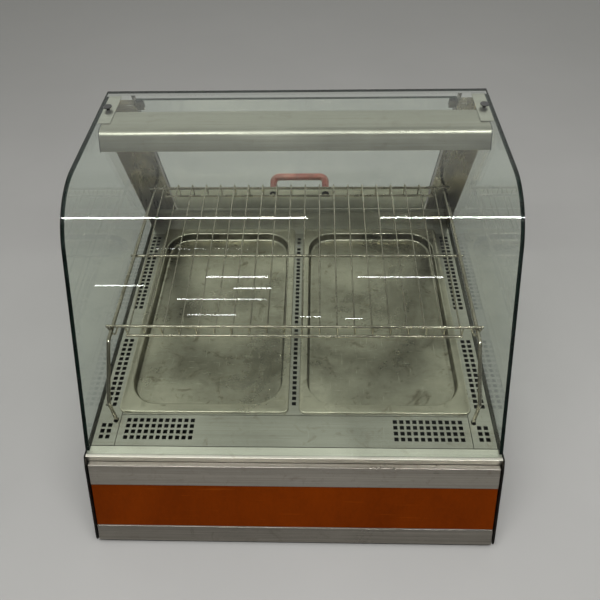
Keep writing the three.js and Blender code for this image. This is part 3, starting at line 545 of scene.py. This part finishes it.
def shelf():
    parts = [cross(GRID_HALF, FRONT_Y, LOW_Z),
             cross(RAIL_HALF, MIDDLE_Y, grid_height(MIDDLE_Y) - (RAIL + THIN) / 2 + 0.5)]
    for i in range(WIRES):
        x = (i - (WIRES - 1) / 2) * WIRE_PITCH
        parts.append(wire([
            (x, FRONT_Y, RAIL_Z - 1), (x, FRONT_Y, FRONT_GRID_Z - 0.2),
            (x, REAR_Y + 7.5, grid_height(REAR_Y + 7.5)), (x, REAR_LOW_Y + 3.6, LOW_Z - 2)],
            THIN, 4.0, 10))
    verts, faces = merged(parts)
    piece("shelf_wires", verts, faces, "shelf", [wire_steel], ["shelf_grid"])

    hooks = [wire([(s * (RAIL_HALF - 1.2), FRONT_Y, RAIL_Z + 0.5),
                   (s * (SUPPORT_X + 1), FRONT_Y, LOW_Z - 2.5),
                   (s * (SUPPORT_X - 13), FRONT_Y, RAIL_Z + 0.5)], HOOK_WIRE, HOOK_BEND, 10)
             for s in (-1, 1)]
    verts, faces = merged([cross(RAIL_HALF, FRONT_Y, RAIL_Z)] + hooks)
    piece("shelf_front_wires", verts, faces, "shelf", [wire_steel], ["shelf_front_rail"])

    verts, faces = merged([cross(RAIL_HALF, REAR_Y, RAIL_Z), cross(GRID_HALF, REAR_LOW_Y, LOW_Z)])
    piece("shelf_rear_wires", verts, faces, "shelf", [wire_steel], ["shelf_rear_rail"])

    for side, s in (("left", -1), ("right", 1)):
        post_face = POST_FOOT_Y - (SUPPORT_Z - DECK) * LEAN_RUN
        x = s * SUPPORT_X
        verts, faces = wire([(x, post_face - 3, SUPPORT_Z), (x, SUPPORT_BEND_Y, SUPPORT_Z),
                             (x, SUPPORT_FOOT_Y, SUPPORT_KNEE_Z), (x, SUPPORT_FOOT_Y, DECK - 6)],
                            SUPPORT_ROD, 14, 16, 8)
        piece(f"shelf_support_rod_{side}", verts, faces, "shelf", [wire_steel],
              [f"shelf_support_{side}"])


shelf()


# ---------------------------------------------------------------------------
# Pans: pressed steel with a flat rim, rounded lip, walls and a slightly dished floor
# ---------------------------------------------------------------------------
PAN_HALF, PAN_LENGTH, PAN_DEPTH = 162.5, 530, 20
PAN_FRONT, PAN_CENTRE, PAN_TOP = 178.5, 172.5, 182


def ring(x_half, y0, y1, radius, z, corner_steps=12, straight=10):
    """Points round a rounded rectangle, evenly matched from one ring to the next."""
    points = []
    corners = [(x_half - radius, y0 + radius, -pi / 2), (x_half - radius, y1 - radius, 0),
               (-x_half + radius, y1 - radius, pi / 2), (-x_half + radius, y0 + radius, pi)]
    for i, (cx, cy, start) in enumerate(corners):
        arc = [(cx + radius * cos(start + pi / 2 * k / corner_steps),
                cy + radius * sin(start + pi / 2 * k / corner_steps)) for k in range(corner_steps + 1)]
        points += arc
        nx, ny, na = corners[(i + 1) % 4]
        target = (nx + radius * cos(na), ny + radius * sin(na))
        points += [(arc[-1][0] + (target[0] - arc[-1][0]) * k / straight,
                    arc[-1][1] + (target[1] - arc[-1][1]) * k / straight) for k in range(1, straight)]
    return [(x, y, z) for x, y in points]


def pan(side, sign):
    side_flange, front_flange, rear_flange = 15, 20, 18
    tub_half = PAN_HALF - side_flange
    tub_front, tub_rear = front_flange, PAN_LENGTH - rear_flange
    wall = 1.0

    def tub(inset, z, radius):
        return ring(tub_half - inset, tub_front + inset, tub_rear - inset, radius, z)

    loops = [
        ring(PAN_HALF - 0.9, 0.9, PAN_LENGTH - 0.9, 11.1, -3.6),
        ring(PAN_HALF - 0.1, 0.1, PAN_LENGTH - 0.1, 11.9, -3.1),
        ring(PAN_HALF, 0, PAN_LENGTH, 12, -1.6),
        ring(PAN_HALF - 0.5, 0.5, PAN_LENGTH - 0.5, 11.5, -0.4),
        ring(PAN_HALF - 1.6, 1.6, PAN_LENGTH - 1.6, 11, 0),
        ring(PAN_HALF - 3.2, 3.2, PAN_LENGTH - 3.2, 11, -0.15),
        ring(PAN_HALF - 5.0, 5.0, PAN_LENGTH - 5.0, 12, -0.9),
        tub(-3.4, -0.9, 58), tub(-2.2, -1.0, 57), tub(-1.0, -1.5, 56), tub(-0.2, -2.6, 55),
        tub(0.3, -4.4, 54.7), tub(1.4, -13.5, 53.6), tub(2.0, -16.2, 53), tub(3.2, -18.4, 51.8),
        tub(5.2, -19.7, 49.8), tub(8.0, -PAN_DEPTH, 47), tub(11.5, -PAN_DEPTH, 44),
        tub(40, -PAN_DEPTH + 0.3, 34), tub(80, -PAN_DEPTH + 0.5, 24), tub(120, -PAN_DEPTH + 0.6, 12),
        tub(140, -PAN_DEPTH + 0.6, 4),
    ]
    under = [
        tub(138, -PAN_DEPTH - wall, 4), tub(8.0, -PAN_DEPTH - wall, 47), tub(4.4, -20.4, 50.6),
        tub(1.8, -18.8, 53.2), tub(0.7, -16.4, 54.3), tub(-0.8, -4.2, 55.8),
        tub(-1.4, -2.4, 56.4), ring(PAN_HALF - 5.2, 5.2, PAN_LENGTH - 5.2, 12, -1.9),
        ring(PAN_HALF - 1.9, 1.9, PAN_LENGTH - 1.9, 10.5, -1.4),
        ring(PAN_HALF - 1.3, 1.3, PAN_LENGTH - 1.3, 10.8, -3.0),
    ]
    rings = loops + under
    n = len(rings[0])
    verts = [at(sign * PAN_CENTRE + x, PAN_FRONT + y, PAN_TOP + z) for r in rings for x, y, z in r]
    faces = []
    for i in range(len(rings)):
        j = (i + 1) % len(rings)
        if i == len(loops) - 1:
            faces.append(tuple(i * n + k for k in range(n)))
            faces.append(tuple(j * n + k for k in reversed(range(n))))
            continue
        for k in range(n):
            m = (k + 1) % n
            faces.append((i * n + k, i * n + m, j * n + m, j * n + k))
    obj = piece(f"gastro_pan_{side}", verts, faces, f"{side}_pan", [pan_steel], [f"pan_{side}"],
                crease=60)
    outward(obj)


for side, sign in (("left", -1), ("right", 1)):
    pan(side, sign)


# ---------------------------------------------------------------------------
# Door handle
# ---------------------------------------------------------------------------
def handle():
    half, foot, grip, drop, bore = 64, 4.8, 44.8, -308, 19
    path = filleted([leaning(-half, foot, drop), leaning(-half, grip, drop),
                     leaning(half, grip, drop), leaning(half, foot, drop)], 15, 12)
    straight = 14
    a, b = Vector(path[0]), Vector(path[1])
    start = [a.lerp(b, k / straight) for k in range(straight)]
    c, d = Vector(path[-2]), Vector(path[-1])
    finish = [c.lerp(d, k / straight) for k in range(1, straight + 1)]
    points = start + path[1:-1] + finish

    def girth(p):
        reach = min((p - a).length, (p - d).length)
        flare = 0.16 * max(0.0, 1 - reach / 7) ** 2
        waist = -0.05 * max(0.0, 1 - abs(reach - 14) / 6)
        return 0.93 + flare + waist

    widths = [girth(p) for p in points]
    verts, faces = tube([at(*p) for p in points], bore * MM, 24, widths)
    piece("handle_bow", verts, faces, "rear_door", [maroon], ["door_handle"],
          crease=60)


handle()


# ---------------------------------------------------------------------------
# Lamp canopy with true bends
# ---------------------------------------------------------------------------
def offset(line, distance):
    """A polyline moved sideways, its corners mitred."""
    moved = []
    for i, p in enumerate(line):
        directions = []
        if i:
            directions.append((Vector(p) - Vector(line[i - 1])).normalized())
        if i < len(line) - 1:
            directions.append((Vector(line[i + 1]) - Vector(p)).normalized())
        normals = [Vector((-v.y, v.x)) for v in directions]
        mean = sum(normals, Vector((0, 0))).normalized()
        moved.append(tuple(Vector(p) + mean * (distance / mean.dot(normals[0]))))
    return moved


def canopy():
    top, bottom, thickness = 561.9, 528, 1.2
    corners = [(611, top - 10, 0), (611, top, 0), (543.3, top, 0), (524.2, bottom, 0),
               (532, bottom - 0.9, 0)]
    first = filleted(corners[:3], 2.2, 5)[:-1]
    bend = filleted(corners[1:4], 17, 16)[1:-1]
    last = filleted(corners[2:], 1.8, 5)[1:]
    outer = [(p[0], p[1]) for p in first + bend + last]
    inner = offset(outer, thickness)
    low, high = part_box("lamp_canopy")
    verts, faces, _ = prism(outer + inner[::-1], low.x / MM, high.x / MM)
    obj = piece("canopy_sheet", verts, faces, "case", [canopy_steel_painted_shade], ["lamp_canopy"],
                crease=30)
    outward(obj)


canopy()


# ---------------------------------------------------------------------------
# Finishes and softened edges of the CAD nodes that stay
# ---------------------------------------------------------------------------
SPECIAL = {
    "fascia_top_trim": trim_steel, "front_bottom_rail": rail_steel_painted_shade,
    "rear_door_rail": door_steel_painted_light,
    "left_side_plate": side_steel, "right_side_plate": side_steel,
    "left_post": post_steel, "right_post": post_steel,
    "door_pivot_left": dark_steel, "door_pivot_right": dark_steel,
    "front_ledge": ledge_steel_painted_highlight, "base_tray": inner_steel_painted_shade, "heater_left": inner_steel_painted_shade,
    "heater_right": inner_steel_painted_shade, "heater_mount_bar": inner_steel_painted_shade,
    "deck_rear_ledge": door_steel_painted_light, "deck_side_left": deck_steel,
    "deck_side_right": deck_steel, "deck_centre_bar": deck_steel, "front_grille_panel": deck_steel,
}
SLOT_OF = {
    "fascia_panel": "fascia_enamel", "thermostat_body": "black_plastic",
    "power_switch_body": "black_plastic", "lamp_switch_body": "black_plastic",
    "cable_gland": "black_plastic", "glass_cap_left": "black_plastic",
    "glass_cap_right": "black_plastic", "canopy_end_left": "black_plastic",
    "canopy_end_right": "black_plastic", "front_left_foot": "rubber", "front_right_foot": "rubber",
    "rear_left_foot": "rubber", "rear_right_foot": "rubber", "terminal_block": "ceramic_white",
    "lamp_holder_left": "ceramic_white", "lamp_holder_right": "ceramic_white",
    "lamp_tube": "lamp_glass", "pilot_lamp": "amber_lens", "handle_washer_left": "rubber",
    "handle_washer_right": "rubber", "handle_screw_left": "bright_wire",
    "handle_screw_right": "bright_wire", "thermostat_knob": "black_plastic",
    "power_switch_rocker": "red_plastic", "lamp_switch_rocker": "red_plastic",
}
PUNCHED = ("deck_side", "deck_centre", "front_grille", "rear_panel")
for name, obj in nodes.items():
    material = SPECIAL.get(name, FINISH[SLOT_OF.get(name, "stainless")])
    for material_slot in obj.material_slots:
        material_slot.material = material
    if not obj.material_slots:
        obj.data.materials.append(material)
    weld = obj.modifiers.new("weld", "WELD")
    weld.merge_threshold = 1e-5
    if not name.startswith(PUNCHED):
        bevel(obj, 0.35, 2, 40)


# ---------------------------------------------------------------------------
# Floor, light and camera
# ---------------------------------------------------------------------------
def floor():
    size = 6.0
    mesh = bpy.data.meshes.new("floor")
    mesh.from_pydata([(-size, -size, 0), (size, -size, 0), (size, size, 0), (-size, size, 0)], [],
                     [(0, 1, 2, 3)])
    m = Recipe("pale_floor")
    cloud = m.noise(m.place, 2.0, 4.0)
    base = m.blend(m.remap(cloud, 0.3, 0.7), rgba(0.27, 0.266, 0.257), rgba(0.295, 0.29, 0.281))
    shader = m.add("BsdfPrincipled", Base_Color=base, Roughness=m.remap(cloud, 0.3, 0.7, 0.6, 0.7))
    mesh.materials.append(m.finish(shader.outputs["BSDF"]))
    obj = bpy.data.objects.new("floor", mesh)
    bpy.context.scene.collection.objects.link(obj)


def soft_light(name, place, target, size, power):
    lamp = bpy.data.lights.new(name, "AREA")
    lamp.shape = "RECTANGLE"
    lamp.size, lamp.size_y = size
    lamp.energy = power
    obj = bpy.data.objects.new(name, lamp)
    obj.location = place
    direction = Vector(target) - Vector(place)
    obj.rotation_euler = direction.to_track_quat("-Z", "Y").to_euler()
    bpy.context.scene.collection.objects.link(obj)
    return obj


def smooth_range(tree, value, from_min, from_max, to_min, to_max):
    """A value carried smoothly from one range to another."""
    node = tree.nodes.new("ShaderNodeMapRange")
    node.interpolation_type = "SMOOTHSTEP"
    tree.links.new(value, node.inputs["Value"])
    for key, number in (("From Min", from_min), ("From Max", from_max),
                        ("To Min", to_min), ("To Max", to_max)):
        node.inputs[key].default_value = number
    return node.outputs["Result"]


def studio_air():
    """A soft surround, brighter overhead and behind the case than on the customer side.

    Steel and glass mirror it unevenly, like a real room; seen directly it is plain.
    """
    world = bpy.data.worlds.new("studio")
    world.use_nodes = True
    tree = world.node_tree
    background = tree.nodes["Background"]
    direction = tree.nodes.new("ShaderNodeTexCoord").outputs["Generated"]
    lean = tree.nodes.new("ShaderNodeVectorMath")
    lean.operation = "DOT_PRODUCT"
    lean.inputs[1].default_value = (0.0, 0.66, 0.6)
    tree.links.new(direction, lean.inputs[0])
    spread = smooth_range(tree, lean.outputs["Value"], -0.15, 0.85, 0.11, 0.72)
    patches = tree.nodes.new("ShaderNodeTexNoise")
    patches.inputs["Scale"].default_value = 1.9
    patches.inputs["Detail"].default_value = 1.5
    tree.links.new(direction, patches.inputs["Vector"])
    uneven = smooth_range(tree, patches.outputs["Fac"], 0.36, 0.62, 0.45, 1.45)
    plain = tree.nodes.new("ShaderNodeMix")
    seen = tree.nodes.new("ShaderNodeLightPath").outputs["Is Camera Ray"]
    tree.links.new(seen, plain.inputs["Factor"])
    tree.links.new(uneven, plain.inputs[2])
    plain.inputs[3].default_value = 1.0
    product = tree.nodes.new("ShaderNodeMath")
    product.operation = "MULTIPLY"
    tree.links.new(spread, product.inputs[0])
    tree.links.new(plain.outputs[0], product.inputs[1])
    tree.links.new(product.outputs[0], background.inputs["Strength"])
    background.inputs["Color"].default_value = rgba(0.87, 0.88, 0.84)
    bpy.context.scene.world = world


def ceiling_tube(name, x0, x1, y, power, width):
    """A long thin lamp facing straight down, as hung in rows under a ceiling."""
    x, z = (x0 + x1) / 2, 2.2
    soft_light(name, (x, y, z), (x, y + 1e-4, 0), (x1 - x0, width), power)


NEAR_Y, NEAR_WIDTH, FAR_WIDTH = -0.84, 0.035, 0.05

floor()
studio_air()
bpy.context.scene.view_settings.view_transform = "Standard"
softbox = soft_light("overhead_softbox", (0.1, -0.3, 2.8), (0, 0, 0.2), (3.0, 2.4), 50)
softbox.visible_glossy = False
ceiling_tube("tube_near_left", -1.4, 0.0, NEAR_Y, 23.0, NEAR_WIDTH)
ceiling_tube("tube_near_right", 0.34, 1.5, NEAR_Y, 20.0, NEAR_WIDTH)
for index, (x0, x1, y) in enumerate((
        (-1.4, -0.55, -4.0), (0.5, 1.45, -5.5), (-1.2, -0.5, -5.5), (-0.95, -0.5, -5.95),
        (-2.6, -2.0, -5.85), (-1.75, -0.6, -6.45), (-1.8, -1.1, -7.3), (-0.2, 0.1, -7.4),
        (0.45, 0.7, -7.5))):
    ceiling_tube(f"tube_far_{index}", x0, x1, y, 3.0 * (x1 - x0) + 0.6, FAR_WIDTH)

FOCAL, SENSOR, FRAME = 588.4, 36.0, 600
PITCH, YAW, ROLL = radians(47.63), radians(-2.43), radians(1.67)
VIEWPOINT = (0.0436, -0.8219, 1.1485)
camera_data = bpy.data.cameras.new("camera")
camera_data.sensor_width = SENSOR
camera_data.lens = FOCAL / FRAME * SENSOR
camera_data.clip_end = 50
camera = bpy.data.objects.new("camera", camera_data)
forward = Vector((sin(YAW) * cos(PITCH), cos(YAW) * cos(PITCH), -sin(PITCH)))
level = Vector((cos(YAW), -sin(YAW), 0))
down = forward.cross(level)
right = level * cos(ROLL) + down * sin(ROLL)
below = down * cos(ROLL) - level * sin(ROLL)
camera.matrix_world = Matrix.Translation(VIEWPOINT) @ Matrix(
    (right, -below, -forward)).transposed().to_4x4()
bpy.context.scene.collection.objects.link(camera)
bpy.context.scene.camera = camera
